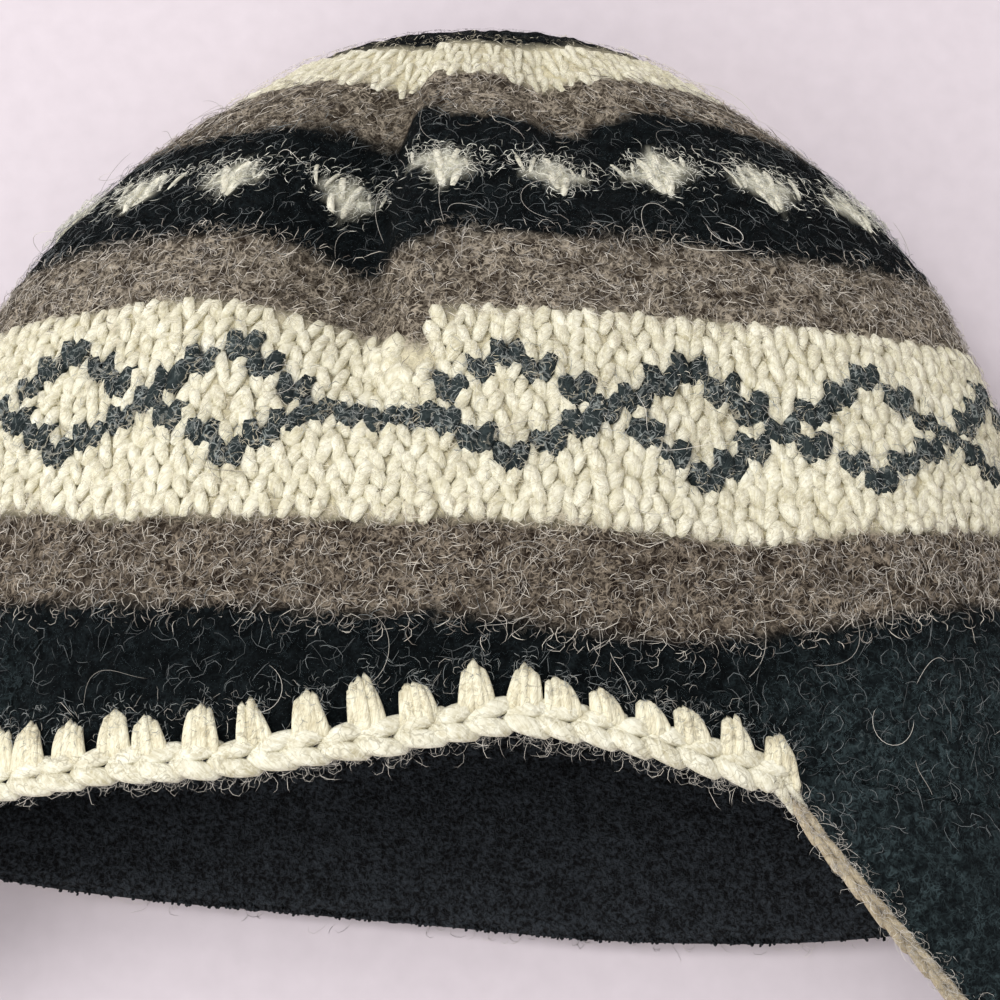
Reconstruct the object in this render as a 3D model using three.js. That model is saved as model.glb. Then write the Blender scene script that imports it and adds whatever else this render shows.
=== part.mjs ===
// A knitted ear-flap hat with a fleece lining and a crocheted edging, lying on its back.
// X points to the hat's right as it is seen, Y away to the crown's far end, Z up to its front.
// The nape lies flat on the floor at Z = 0 and the face opening looks along -Y. Millimetres.
import * as THREE from "three";

// Driving sizes
const rimWidth = 258; // across the rim, outside, as it lies
const rimHeight = 90; // from the floor to the top of the rim
const crownLength = 184; // along the floor, from the crown's far end to the front hem
const knitWall = 5; // felted hand knitting
const fleeceWall = 2.5;
const pieceGap = 0.3; // between pieces that are sewn together
const liningGap = 0.5; // between the knitting and the fleece behind it
const rowHeight = 4.1; // one row of knitting at the rim
const sideExtra = 8; // how much longer the hem is at the sides
const frontArch = 16; // how far the front hem is cut up over the forehead
const archCentre = 0.49; // where round the hem that cut is deepest; 0.5 is the top as it lies
const napeTilt = 9; // the back hem lies this much longer on the right and shorter on the left
const frontOpening = 168; // along the hem, between the two flaps
const rimRoll = 18; // the slack rim has rolled this far to the hat's left
const flapWidth = 80; // at its root, along the hem
const flapLength = 82; // from its root to its tip
const flapPoint = 1.35; // 1 is a straight-sided point, 2 a parabola
const flapTipRound = 0.18; // how far up the flap its tip is rounded, as a share of its half width
const rightSplay = 34; // degrees that each loose flap has turned outwards on the floor
const leftSplay = 50;
const splayStart = 10; // the flaps begin to turn this far above the end of the hem
const trimHeight = 6; // the crocheted braid, measured away from the hem
const trimWall = 4.8;
const trimGap = 0.5; // between the braid and the edge that it is worked on
const liningInset = 6; // the fleece stops this far short of the edge
const napeReach = 7; // the fleece rolls out over the braid at the nape by this much
const soleSink = 0.8; // how much of the round back is pressed flat by lying

// Mesh counts
const crownRings = 15;
const flapRings = 6;
const flapColumns = 18; // the columns of the crown over one flap
const napeColumns = 12;
const frontColumns = 18;
const trimSteps = 124;
const trimSides = 6;

// The stripes of the crown from its far end to the front hem. Rows are counted from the far end;
// along and lag and lead are shares of crownLength, width of half rimWidth, under and top of
// rimHeight. Lag sets the sides of a row back, lead brings its back forward, shift moves it sideways.
const crownStations = [
  { stripe: "pole", row: 0, along: 0, width: 0, under: 0.21, top: 0.21, lag: 0, lead: 0, shift: 0 },
  { stripe: "black", row: 4, along: 0.034, width: 0.28, under: 0.09, top: 0.4, lag: 0, lead: 0, shift: -0.01 },
  { stripe: "cream", row: 8, along: 0.112, width: 0.47, under: 0.03, top: 0.53, lag: 0, lead: 0, shift: -0.015 },
  { stripe: "brown", row: 13, along: 0.205, width: 0.645, under: 0, top: 0.64, lag: 0, lead: 0.01, shift: -0.02 },
  { stripe: "crosses", row: 21, along: 0.395, width: 0.845, under: 0, top: 0.8, lag: 0.015, lead: 0.03, shift: -0.022 },
  { stripe: "brown", row: 26, along: 0.495, width: 0.9, under: 0, top: 0.865, lag: 0.025, lead: 0.055, shift: -0.022 },
  { stripe: "diamonds", row: 38, along: 0.757, width: 0.97, under: 0, top: 0.965, lag: 0.05, lead: 0.088, shift: -0.02 },
  { stripe: "brown", row: 44, along: 0.874, width: 0.992, under: 0, top: 0.99, lag: 0.055, lead: 0.1, shift: -0.025 },
  { stripe: "black", row: 50, along: 1, width: 1, under: 0, top: 1, lag: 0.05, lead: 0.1, shift: -0.035 },
  { stripe: "hem", row: 54, along: 1.085, width: 1, under: 0, top: 0.985, lag: 0.045, lead: 0.1, shift: -0.04 },
];

// The flaps carry the same surface on past the hem and sag towards their tips.
// Reach is a share of flapLength, width of half rimWidth, top of rimHeight.
const flapStations = [
  { reach: 0.35, width: 1.01, top: 0.88, lag: 0.025, lead: 0.088 },
  { reach: 0.75, width: 1.02, top: 0.64, lag: 0, lead: 0.077 },
  { reach: 1.2, width: 1.03, top: 0.4, lag: 0, lead: 0.066 },
];

// Slack folds of the lying crown. Around runs from 0 at the nape over the right side to 0.5 at the
// front; depth is a share of rimHeight.
const folds = [
  { place: "front valley", from: 4, to: 34, aroundFrom: 0.556, aroundTo: 0.54, left: 0.055, right: 0.016, depth: 0.17 },
  { place: "far right dimple", from: 4, to: 20, aroundFrom: 0.45, aroundTo: 0.43, left: 0.04, right: 0.04, depth: 0.08 },
  { place: "right sag", from: 24, to: 49, aroundFrom: 0.41, aroundTo: 0.39, left: 0.05, right: 0.05, depth: 0.06 },
  { place: "left sag", from: 22, to: 48, aroundFrom: 0.66, aroundTo: 0.64, left: 0.04, right: 0.04, depth: 0.035 },
];

const sectionSides = 0.86; // exponent of the section's width: under 1 is boxier than a circle
const sectionSole = 1.45; // exponent of its height: over 1 flattens the side that lies down

const black = 0x15191b;
const charcoal = 0x1b1b1e;
const cream = 0xe9e3cd;

const hemRow = crownStations.at(-1).row;
const flapRowsPerReach = flapLength / rowHeight;

// Stations with all their columns as lengths, crown first and then the flaps' own.
const stations = [
  ...crownStations.map((s) => [
    s.row,
    s.along * crownLength,
    (s.width * rimWidth) / 2,
    s.under * rimHeight,
    s.top * rimHeight,
    s.lag * crownLength,
    s.lead * crownLength,
    (s.shift * rimWidth) / 2,
  ]),
  ...flapStations.map((s) => [
    hemRow + s.reach * flapRowsPerReach,
    crownStations.at(-1).along * crownLength + s.reach * flapLength,
    (s.width * rimWidth) / 2,
    0,
    s.top * rimHeight,
    s.lag * crownLength,
    s.lead * crownLength,
    (crownStations.at(-1).shift * rimWidth) / 2,
  ]),
];

// The slope of each column at each station: the mean of the slopes on both sides, weighted.
const slopes = stations.map((here, i) => {
  const before = stations[Math.max(i - 1, 0)];
  const after = stations[Math.min(i + 1, stations.length - 1)];
  return here.map((value, c) => {
    if (c === 0) return 1;
    if (i === 0) return c === 1 ? 0 : (after[c] - value) / (after[0] - here[0]);
    if (i === stations.length - 1) return (value - before[c]) / (here[0] - before[0]);
    const back = (value - before[c]) / (here[0] - before[0]);
    const ahead = (after[c] - value) / (after[0] - here[0]);
    const share = (here[0] - before[0]) / (after[0] - before[0]);
    return share * ahead + (1 - share) * back;
  });
});

// All columns at one row, on a smooth cubic through the stations.
function profileAt(row) {
  const last = stations.length - 2;
  let i = stations.findIndex((s, k) => k === last || stations[k + 1][0] > row);
  i = Math.max(i, 0);
  const step = stations[i + 1][0] - stations[i][0];
  const t = (row - stations[i][0]) / step;
  const a = 2 * t ** 3 - 3 * t ** 2 + 1;
  const b = (t ** 3 - 2 * t ** 2 + t) * step;
  const c = 1 - a;
  const d = (t ** 3 - t ** 2) * step;
  return stations[i].map(
    (value, k) => a * value + b * slopes[i][k] + c * stations[i + 1][k] + d * slopes[i + 1][k],
  );
}

// The shape of every section, from -1 to 1 across and 0 to 1 up, at the angle turn.
function sectionAt(turn) {
  const across = Math.sign(Math.sin(turn)) * Math.abs(Math.sin(turn)) ** sectionSides;
  const up = ((1 - Math.cos(turn)) / 2) ** sectionSole;
  return [across, up];
}

// Turns for even steps of length round the rim, so that stitches are evenly spread, and its girth.
const turnSteps = 720;
const turnLengths = [0];
for (let i = 1; i <= turnSteps; i++) {
  const [x0, z0] = sectionAt(((i - 1) / turnSteps) * 2 * Math.PI);
  const [x1, z1] = sectionAt((i / turnSteps) * 2 * Math.PI);
  const length = Math.hypot(((x1 - x0) * rimWidth) / 2, (z1 - z0) * rimHeight);
  turnLengths.push(turnLengths[i - 1] + length);
}
const girth = turnLengths[turnSteps];

function turnAt(around) {
  const want = (around - Math.floor(around)) * girth;
  let low = 0;
  let high = turnSteps;
  while (high - low > 1) {
    const middle = (low + high) >> 1;
    if (turnLengths[middle] <= want) low = middle;
    else high = middle;
  }
  const share = (want - turnLengths[low]) / (turnLengths[high] - turnLengths[low]);
  return ((low + share) / turnSteps) * 2 * Math.PI;
}

// How far past the hem a row lies, starting gently.
function pastHem(row) {
  const past = Math.max(row - hemRow + splayStart / rowHeight, 0) * rowHeight;
  return Math.hypot(past, splayStart) - splayStart;
}

// The outside of the hat without its folds.
function smoothPoint(around, row) {
  const turn = turnAt(around);
  const [, along, halfWidth, under, top, lag, lead, shift] = profileAt(row);
  const [across, up] = sectionAt(turn);
  const side = Math.sin(turn) ** 2;
  const nape = ((1 + Math.cos(turn)) / 2) ** 2;
  const rightwards = (1 + Math.tanh(3 * Math.sin(turn))) / 2;
  const splay = THREE.MathUtils.degToRad(rightwards * (rightSplay + leftSplay) - leftSplay);
  const past = pastHem(row);
  return new THREE.Vector3(
    shift + halfWidth * across + past * Math.sin(splay),
    -along + lag * side - lead * nape + past * (1 - Math.cos(splay)),
    Math.max(under + (top - under) * up - soleSink, 0),
  );
}

function smoothNormal(around, row) {
  if (row < 0.2) return new THREE.Vector3(0, 1, 0);
  const step = 0.004;
  const sideways = smoothPoint(around + step, row).sub(smoothPoint(around - step, row));
  const down = smoothPoint(around, row + 0.15).sub(smoothPoint(around, Math.max(row - 0.15, 0)));
  return sideways.cross(down).normalize();
}

// How far the folds press the surface in.
function foldDepth(around, row) {
  let depth = 0;
  for (const f of folds) {
    const along = (row - f.from) / (f.to - f.from);
    if (along <= 0 || along >= 1) continue;
    const centre = f.aroundFrom + (f.aroundTo - f.aroundFrom) * along;
    const off = around - centre;
    const share = off / (off > 0 ? f.left : f.right);
    depth += f.depth * rimHeight * Math.sin(Math.PI * along) ** 1.2 * Math.exp(-2 * share ** 2);
  }
  return depth;
}

// A point of the hat at a depth below its outside.
function hatPoint(around, row, depth) {
  const total = depth + foldDepth(around - Math.floor(around), row);
  return smoothPoint(around, row).addScaledVector(smoothNormal(around, row), -total);
}

// The hem's row: lower at both sides, and arched up over the forehead, more gently to the left.
function hemAt(around) {
  const a = around - Math.floor(around);
  const spread = a < archCentre ? 0.1 : 0.15;
  const arch = frontArch * Math.exp(-(((a - archCentre) / spread) ** 2));
  const sides = sideExtra * Math.sin(2 * Math.PI * a) ** 2;
  const tilt = (napeTilt * Math.sin(2 * Math.PI * a) * (1 + Math.cos(2 * Math.PI * a))) / 2;
  return hemRow - 0.6 + (sides + tilt - arch - trimHeight) / rowHeight;
}

const openingCentre = 0.5 + rimRoll / girth;
const flapHalf = flapWidth / girth / 2;
const flapOffset = frontOpening / girth / 2 + flapHalf;
const flapCentres = { right: openingCentre - flapOffset, left: openingCentre + flapOffset };

// Rows that a flap adds below the hem, none outside its root.
function flapRowsAt(around) {
  const a = around - Math.floor(around);
  const rounded = (share) => Math.hypot(share, flapTipRound) - flapTipRound;
  let rows = 0;
  for (const centre of Object.values(flapCentres)) {
    const off = Math.abs(a - centre) / flapHalf;
    if (off < 1) rows = (flapLength / rowHeight) * (1 - (rounded(off) / rounded(1)) ** flapPoint);
  }
  return rows;
}

const edgeAt = (around) => hemAt(around) + flapRowsAt(around);

// 1 along the back hem between the two flaps, fading to 0 at their corners.
function napeShare(around) {
  const a = around - Math.floor(around);
  const fromBack = Math.min(a, 1 - a);
  const leftCorner = 1 - flapCentres.left - flapHalf;
  const rightCorner = flapCentres.right - flapHalf;
  const corner = a < 0.5 ? rightCorner : leftCorner;
  return THREE.MathUtils.smoothstep(corner - fromBack, -0.035, 0);
}

// A closed mesh from a grid of outer points and one of inner points, [ring][column].
// Round grids join their last column to the first; open ones get side walls.
// Triangles that have shrunk to a line, as at the pole, are left out.
function shellMesh(outer, inner, round) {
  const rings = outer.length;
  const columns = outer[0].length;
  const points = [...outer.flat(), ...inner.flat()];
  const index = [];
  const at = (skin, ring, column) =>
    skin * rings * columns + ring * columns + (round ? column % columns : column);
  const triangle = (a, b, c) => {
    const [p, q, r] = [points[a], points[b], points[c]];
    if (p.distanceTo(q) < 2e-3 || q.distanceTo(r) < 2e-3 || r.distanceTo(p) < 2e-3) return;
    index.push(a, b, c);
  };
  const quad = (a, b, c, d) => {
    triangle(a, b, c);
    triangle(a, c, d);
  };
  const spans = round ? columns : columns - 1;
  for (let i = 0; i < rings - 1; i++) {
    for (let j = 0; j < spans; j++) {
      quad(at(0, i, j), at(0, i, j + 1), at(0, i + 1, j + 1), at(0, i + 1, j));
      quad(at(1, i, j), at(1, i + 1, j), at(1, i + 1, j + 1), at(1, i, j + 1));
    }
  }
  const closedStart = outer[0].every((p) => p.distanceTo(outer[0][0]) < 2e-3);
  for (let j = 0; j < spans; j++) {
    quad(at(0, rings - 1, j), at(0, rings - 1, j + 1), at(1, rings - 1, j + 1), at(1, rings - 1, j));
    if (!closedStart) quad(at(0, 0, j), at(1, 0, j), at(1, 0, j + 1), at(0, 0, j + 1));
  }
  if (!round) {
    for (let i = 0; i < rings - 1; i++) {
      quad(at(0, i, 0), at(0, i + 1, 0), at(1, i + 1, 0), at(1, i, 0));
      quad(at(0, i, spans), at(1, i, spans), at(1, i + 1, spans), at(0, i + 1, spans));
    }
  }
  const geometry = new THREE.BufferGeometry();
  geometry.setAttribute("position", new THREE.Float32BufferAttribute(points.flatMap((p) => [p.x, p.y, p.z]), 3));
  geometry.setIndex(index);
  geometry.computeVertexNormals();
  return geometry;
}

// Places round the hat that are evenly spaced along its edge, flaps included.
function evenAlongEdge(from, to, count) {
  const fine = 400;
  const lengths = [0];
  for (let i = 0; i < fine; i++) {
    const [a, b] = [from + ((to - from) * i) / fine, from + ((to - from) * (i + 1)) / fine];
    lengths.push(lengths[i] + Math.hypot((b - a) * girth, (edgeAt(b) - edgeAt(a)) * rowHeight));
  }
  return Array.from({ length: count + 1 }, (_, k) => {
    const want = (k / count) * lengths[fine];
    const i = Math.min(Math.max(lengths.findIndex((length) => length > want) - 1, 0), fine - 1);
    const share = k === count ? fine : i + (want - lengths[i]) / (lengths[i + 1] - lengths[i]);
    return from + ((to - from) * share) / fine;
  });
}

// The columns of the mesh, shared by the crown, the lining and the flaps.
const flapCorner = 0.985;
const flapColumnsOf = (centre) =>
  evenAlongEdge(centre - flapCorner * flapHalf, centre + flapCorner * flapHalf, flapColumns);
const rightColumns = flapColumnsOf(flapCentres.right);
const leftColumns = flapColumnsOf(flapCentres.left);
const aroundColumns = [
  ...rightColumns,
  ...evenAlongEdge(rightColumns.at(-1), leftColumns[0], frontColumns).slice(1, -1),
  ...leftColumns,
  ...evenAlongEdge(leftColumns.at(-1), rightColumns[0] + 1, napeColumns).slice(1, -1),
];

const shares = (count, power) => Array.from({ length: count + 1 }, (_, i) => (i / count) ** power);

// A cup-shaped skin at one depth: rings from the pole to the hem, then on over flaps and nape.
function cupSkin(depth, endAt) {
  const columnPoints = aroundColumns.map((around) => {
    const end = endAt(around);
    const hem = Math.min(hemAt(around), end);
    const rows = shares(crownRings, 1.15).map((share) => share * hemAt(around));
    rows[crownRings] = hem;
    if (endAt !== hemAt) rows.push(...shares(flapRings, 1).slice(1).map((share) => hem + share * (end - hem)));
    return rows.map((row) => hatPoint(around, row, depth));
  });
  return columnPoints[0].map((_, i) => columnPoints.map((points) => points[i]));
}

function crownMesh() {
  return shellMesh(cupSkin(0, hemAt), cupSkin(knitWall, hemAt), true);
}

// The fleece stops short of the edge at the front and on the flaps, and rolls out at the nape.
function liningEndAt(around) {
  const nape = napeShare(around);
  const past = napeReach * nape - liningInset * (1 - nape);
  return edgeAt(around) + past / rowHeight;
}

function liningMesh() {
  const outside = knitWall + liningGap;
  return shellMesh(cupSkin(outside, liningEndAt), cupSkin(outside + fleeceWall, liningEndAt), true);
}

function flapMesh(columns) {
  const skin = (depth) =>
    shares(flapRings, 1).map((share) =>
      columns.map((around) => {
        const root = hemAt(around) + pieceGap / rowHeight;
        return hatPoint(around, root + share * (edgeAt(around) - root), depth);
      }),
    );
  return shellMesh(skin(0), skin(knitWall), false);
}

// The braid: an oval roll carried along the whole edge, just outside it.
function trimMesh() {
  const places = evenAlongEdge(0, 1, trimSteps);
  const rings = Array.from({ length: trimSteps }, (_, k) => {
    const around = places[k];
    const edge = (a) => hatPoint(a, edgeAt(a), knitWall / 2);
    const tangent = edge(around + 0.002).sub(edge(around - 0.002)).normalize();
    const normal = smoothNormal(around, edgeAt(around));
    const away = tangent.clone().cross(normal).negate().normalize();
    const up = away.clone().cross(tangent).normalize();
    const centre = edge(around).addScaledVector(away, trimGap + trimHeight / 2);
    return Array.from({ length: trimSides }, (_, s) => {
      const turn = ((s + 0.5) / trimSides) * 2 * Math.PI;
      const point = centre.clone();
      point.addScaledVector(away, (trimHeight / 2) * Math.cos(turn));
      point.addScaledVector(up, (trimWall / 2) * Math.sin(turn));
      point.z = Math.max(point.z, 0);
      return point;
    });
  });
  const points = rings.flat();
  const index = [];
  for (let k = 0; k < trimSteps; k++) {
    for (let s = 0; s < trimSides; s++) {
      const a = k * trimSides + s;
      const b = k * trimSides + ((s + 1) % trimSides);
      const c = ((k + 1) % trimSteps) * trimSides + ((s + 1) % trimSides);
      const d = ((k + 1) % trimSteps) * trimSides + s;
      index.push(a, c, b, a, d, c);
    }
  }
  const geometry = new THREE.BufferGeometry();
  geometry.setAttribute("position", new THREE.Float32BufferAttribute(points.flatMap((p) => [p.x, p.y, p.z]), 3));
  geometry.setIndex(index);
  geometry.computeVertexNormals();
  return geometry;
}

function addPiece(group, name, geometry, colour, roughness) {
  const material = new THREE.MeshStandardMaterial({ color: colour, roughness, metalness: 0 });
  const mesh = new THREE.Mesh(geometry, material);
  mesh.name = name;
  group.add(mesh);
}

// The pieces hang in a group that puts the middle of their box at X = Y = 0.
const pieces = new THREE.Group();
addPiece(pieces, "crown", crownMesh(), cream, 0.95);
addPiece(pieces, "lining", liningMesh(), charcoal, 1);
addPiece(pieces, "ear_flap_right", flapMesh(rightColumns), black, 0.95);
addPiece(pieces, "ear_flap_left", flapMesh(leftColumns), black, 0.95);
addPiece(pieces, "edging", trimMesh(), cream, 0.9);
const middle = new THREE.Box3().setFromObject(pieces).getCenter(new THREE.Vector3());
pieces.position.set(-middle.x, -middle.y, 0);

const hat = new THREE.Group();
hat.name = "hat";
hat.add(pieces);

export default hat;
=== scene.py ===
"""The looks of a knitted ear-flap hat with a fleece lining, lying on its back."""

import math

import bpy
import numpy as np
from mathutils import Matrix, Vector


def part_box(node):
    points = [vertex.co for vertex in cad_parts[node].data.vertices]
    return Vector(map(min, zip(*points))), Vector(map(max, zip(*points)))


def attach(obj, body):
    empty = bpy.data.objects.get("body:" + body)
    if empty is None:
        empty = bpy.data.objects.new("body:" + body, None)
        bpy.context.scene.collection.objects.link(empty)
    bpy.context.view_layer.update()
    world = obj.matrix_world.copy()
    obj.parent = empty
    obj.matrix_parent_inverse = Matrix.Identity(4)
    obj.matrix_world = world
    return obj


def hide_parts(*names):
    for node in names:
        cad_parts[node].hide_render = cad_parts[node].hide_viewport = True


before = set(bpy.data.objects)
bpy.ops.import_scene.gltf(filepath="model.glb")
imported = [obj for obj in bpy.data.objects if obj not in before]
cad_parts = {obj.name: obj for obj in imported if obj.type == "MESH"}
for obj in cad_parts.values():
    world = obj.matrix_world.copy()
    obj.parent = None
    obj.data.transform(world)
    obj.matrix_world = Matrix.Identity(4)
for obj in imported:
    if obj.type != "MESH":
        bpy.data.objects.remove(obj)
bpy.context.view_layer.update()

# The ground of the crown
# Hand-knitted wool, washed until it has felted into a soft cup 5 mm thick. It is worked in
# rounds from the hem to the far end, in stripes of black, brown and cream yarn. The ground is
# the felted web that closes the gaps between the stitches.

MM = 0.001
RIM_WIDTH, RIM_HEIGHT, CROWN_LENGTH = 258.0, 90.0, 184.0
KNIT_WALL = 5.0
ROW_HEIGHT = 4.1
SIDE_EXTRA, FRONT_ARCH, ARCH_CENTRE, NAPE_TILT = 8.0, 16.0, 0.49, 9.0
FRONT_OPENING, RIM_ROLL = 168.0, 18.0
FLAP_WIDTH, FLAP_LENGTH, FLAP_POINT, FLAP_TIP_ROUND = 80.0, 82.0, 1.35, 0.18
RIGHT_SPLAY, LEFT_SPLAY, SPLAY_START = math.radians(34), math.radians(50), 10.0
TRIM_HEIGHT = 6.0
SOLE_SINK = 0.8
SECTION_SIDES, SECTION_SOLE = 0.86, 1.45

# Stations of the crown, as shares: row, along, width, under, top, lag, lead, shift.
CROWN_STATIONS = np.array([
    (0, 0, 0, 0.21, 0.21, 0, 0, 0),
    (4, 0.034, 0.28, 0.09, 0.4, 0, 0, -0.01),
    (8, 0.112, 0.47, 0.03, 0.53, 0, 0, -0.015),
    (13, 0.205, 0.645, 0, 0.64, 0, 0.01, -0.02),
    (21, 0.395, 0.845, 0, 0.8, 0.015, 0.03, -0.022),
    (26, 0.495, 0.9, 0, 0.865, 0.025, 0.055, -0.022),
    (38, 0.757, 0.97, 0, 0.965, 0.05, 0.088, -0.02),
    (44, 0.874, 0.992, 0, 0.99, 0.055, 0.1, -0.025),
    (50, 1, 1, 0, 1, 0.05, 0.1, -0.035),
    (54, 1.085, 1, 0, 0.985, 0.045, 0.1, -0.04),
])
# Stations of the flaps, as shares: reach, width, top, lag, lead.
FLAP_STATIONS = np.array([
    (0.35, 1.01, 0.88, 0.025, 0.088),
    (0.75, 1.02, 0.64, 0, 0.077),
    (1.2, 1.03, 0.4, 0, 0.066),
])
# Folds: first row, last row, around there, around here, left, right, depth as a share of height.
FOLDS = (
    (4, 34, 0.556, 0.54, 0.055, 0.016, 0.17),
    (4, 20, 0.45, 0.43, 0.04, 0.04, 0.08),
    (24, 49, 0.41, 0.39, 0.05, 0.05, 0.06),
    (22, 48, 0.66, 0.64, 0.04, 0.04, 0.035),
)
HEM_ROW = CROWN_STATIONS[-1, 0]


def stations_in_mm():
    """Both tables as lengths, one under the other: row, then along, half width, under, top,
    lag, lead and shift in mm. The flaps go on from the hem's own along and shift."""
    half, high, long = RIM_WIDTH / 2, RIM_HEIGHT, CROWN_LENGTH
    crown = CROWN_STATIONS * (1, long, half, high, high, long, long, half)
    reach, width, top, lag, lead = FLAP_STATIONS.T
    row, along = HEM_ROW + reach * FLAP_LENGTH / ROW_HEIGHT, crown[-1, 1] + reach * FLAP_LENGTH
    shift = np.full(3, crown[-1, 7])
    lengths = (row, along, width * half, np.zeros(3), top * high, lag * long, lead * long, shift)
    return np.concatenate([crown, np.stack(lengths, axis=1)])


STATIONS = stations_in_mm()


def station_slopes():
    """Slope of each column at each station, from its two sides, each weighted by the length of
    the other; one-sided at the ends, and 0 for along at the pole."""
    steps = np.diff(STATIONS[:, 0])[:, None]
    sides = np.diff(STATIONS, axis=0) / steps
    share = steps[:-1] / (steps[:-1] + steps[1:])
    slopes = np.concatenate([sides[:1], share * sides[1:] + (1 - share) * sides[:-1], sides[-1:]])
    slopes[0, 1] = 0
    return slopes


SLOPES = station_slopes()


def profile_at(row):
    """The seven lengths at a row: a cubic between stations that takes their values and slopes."""
    i = np.clip(np.searchsorted(STATIONS[:, 0], row, side="right") - 1, 0, len(STATIONS) - 2)
    step = STATIONS[i + 1, 0] - STATIONS[i, 0]
    t = (row - STATIONS[i, 0]) / step
    a = (2 * t**3 - 3 * t**2 + 1)[..., None]
    b = ((t**3 - 2 * t**2 + t) * step)[..., None]
    d = ((t**3 - t**2) * step)[..., None]
    return (a * STATIONS[i] + b * SLOPES[i] + (1 - a) * STATIONS[i + 1] + d * SLOPES[i + 1])[..., 1:]


def section_at(turn):
    """A lying section: across = sign(sin) |sin|^0.86, up = ((1 - cos) / 2)^1.45."""
    across = np.sign(np.sin(turn)) * np.abs(np.sin(turn)) ** SECTION_SIDES
    return across, ((1 - np.cos(turn)) / 2) ** SECTION_SOLE


TURNS = np.linspace(0, 2 * math.pi, 721)
RIM_ACROSS, RIM_UP = section_at(TURNS)
TURN_LENGTHS = np.concatenate(
    [[0], np.cumsum(np.hypot(np.diff(RIM_ACROSS) * RIM_WIDTH / 2, np.diff(RIM_UP) * RIM_HEIGHT))]
)
GIRTH = TURN_LENGTHS[-1]


def smooth_point(around, row):
    """The outside without its folds, in mm. around runs from 0 at the nape over the right side to
    0.5 at the front; row counts rows of knitting from the far end. The section is stretched to
    the row's width and height, its sides lag, its back leads, and the flaps splay."""
    turn = np.interp(np.mod(around, 1) * GIRTH, TURN_LENGTHS, TURNS)
    along, half_width, under, top, lag, lead, shift = np.moveaxis(profile_at(row), -1, 0)
    across, up = section_at(turn)
    nape = ((1 + np.cos(turn)) / 2) ** 2
    rightwards = (1 + np.tanh(3 * np.sin(turn))) / 2
    splay = rightwards * (RIGHT_SPLAY + LEFT_SPLAY) - LEFT_SPLAY
    past = np.maximum(row - HEM_ROW + SPLAY_START / ROW_HEIGHT, 0) * ROW_HEIGHT
    past = np.hypot(past, SPLAY_START) - SPLAY_START
    x = shift + half_width * across + past * np.sin(splay)
    y = -along + lag * np.sin(turn) ** 2 - lead * nape + past * (1 - np.cos(splay))
    z = np.maximum(under + (top - under) * up - SOLE_SINK, 0)
    return np.stack([x, y, z], axis=-1)


def unit(vectors):
    return vectors / np.maximum(np.linalg.norm(vectors, axis=-1, keepdims=True), 1e-9)


def surface_axes(around, row):
    """Unit vectors round the hat, towards the hem, and outwards, by differences of the surface."""
    row = np.maximum(row, 0.3)
    sideways = unit(smooth_point(around + 0.004, row) - smooth_point(around - 0.004, row))
    down = unit(smooth_point(around, row + 0.15) - smooth_point(around, row - 0.15))
    return sideways, down, unit(np.cross(sideways, down))


def fold_depth(around, row):
    """How far folds press in: depth (sin of the way along)^1.2 exp(-2 (offset / width)^2)."""
    depth = np.zeros(np.broadcast(around, row).shape)
    for first, last, there, here, left, right, share in FOLDS:
        along = np.clip((row - first) / (last - first), 0, 1)
        off = np.mod(around, 1) - (there + (here - there) * along)
        off = off / np.where(off > 0, left, right)
        depth += share * RIM_HEIGHT * np.sin(math.pi * along) ** 1.2 * np.exp(-2 * off**2)
    return depth


PLACE = np.array([0.0, 0.0, 0.0])


def hat_point(around, row, lift=0.0):
    """A point of the hat in the frame, in metres, lifted by so many mm off its outside."""
    around, row = np.broadcast_arrays(np.asarray(around, float), np.asarray(row, float))
    normal = surface_axes(around, row)[2]
    total = np.asarray(lift - fold_depth(around, row))[..., None]
    point = (smooth_point(around, row) + normal * total) * MM + PLACE
    point[..., 2] = np.maximum(point[..., 2], 0.2 * MM)
    return point


def hem_at(around):
    """The hem's row: lower at the sides, tilted at the nape, arched up over the forehead."""
    a = np.mod(around, 1)
    spread = np.where(a < ARCH_CENTRE, 0.1, 0.15)
    arch = FRONT_ARCH * np.exp(-(((a - ARCH_CENTRE) / spread) ** 2))
    wave = np.sin(2 * math.pi * a)
    tilt = NAPE_TILT * wave * (1 + np.cos(2 * math.pi * a)) / 2
    sagging = np.interp(a, (0.485, 0.525, 0.575, 0.62), (0, 0.85, 0.85, 0))
    return HEM_ROW - 0.6 + (SIDE_EXTRA * wave**2 + tilt - arch - TRIM_HEIGHT) / ROW_HEIGHT + sagging


FLAP_HALF = FLAP_WIDTH / GIRTH / 2
FLAP_OFFSET = FRONT_OPENING / GIRTH / 2 + FLAP_HALF
FLAP_CENTRES = {
    "right": 0.5 + RIM_ROLL / GIRTH - FLAP_OFFSET,
    "left": 0.5 + RIM_ROLL / GIRTH + FLAP_OFFSET,
}


def edge_at(around):
    """The edge's row: the hem's, and on a flap further down by a rounded point."""
    rows = np.zeros_like(np.asarray(around, float))
    full = math.hypot(1, FLAP_TIP_ROUND) - FLAP_TIP_ROUND
    for centre in FLAP_CENTRES.values():
        off = np.minimum(np.abs(np.mod(around, 1) - centre) / FLAP_HALF, 1)
        rounded = (np.hypot(off, FLAP_TIP_ROUND) - FLAP_TIP_ROUND) / full
        rows = rows + FLAP_LENGTH / ROW_HEIGHT * (1 - rounded**FLAP_POINT)
    return hem_at(around) + rows


def lay_in_frame():
    """The formula's origin in the frame, from the box of the crown's solid."""
    low, high = (np.array(corner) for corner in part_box("crown"))
    a, r = np.meshgrid(np.linspace(0, 1, 361), np.linspace(0, 53, 107))
    points = smooth_point(a, r)[r <= hem_at(a)] * MM
    across = (low[0] + high[0]) / 2 - (points[:, 0].min() + points[:, 0].max()) / 2
    return np.array([across, high[1], 0])


PLACE = lay_in_frame()


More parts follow.
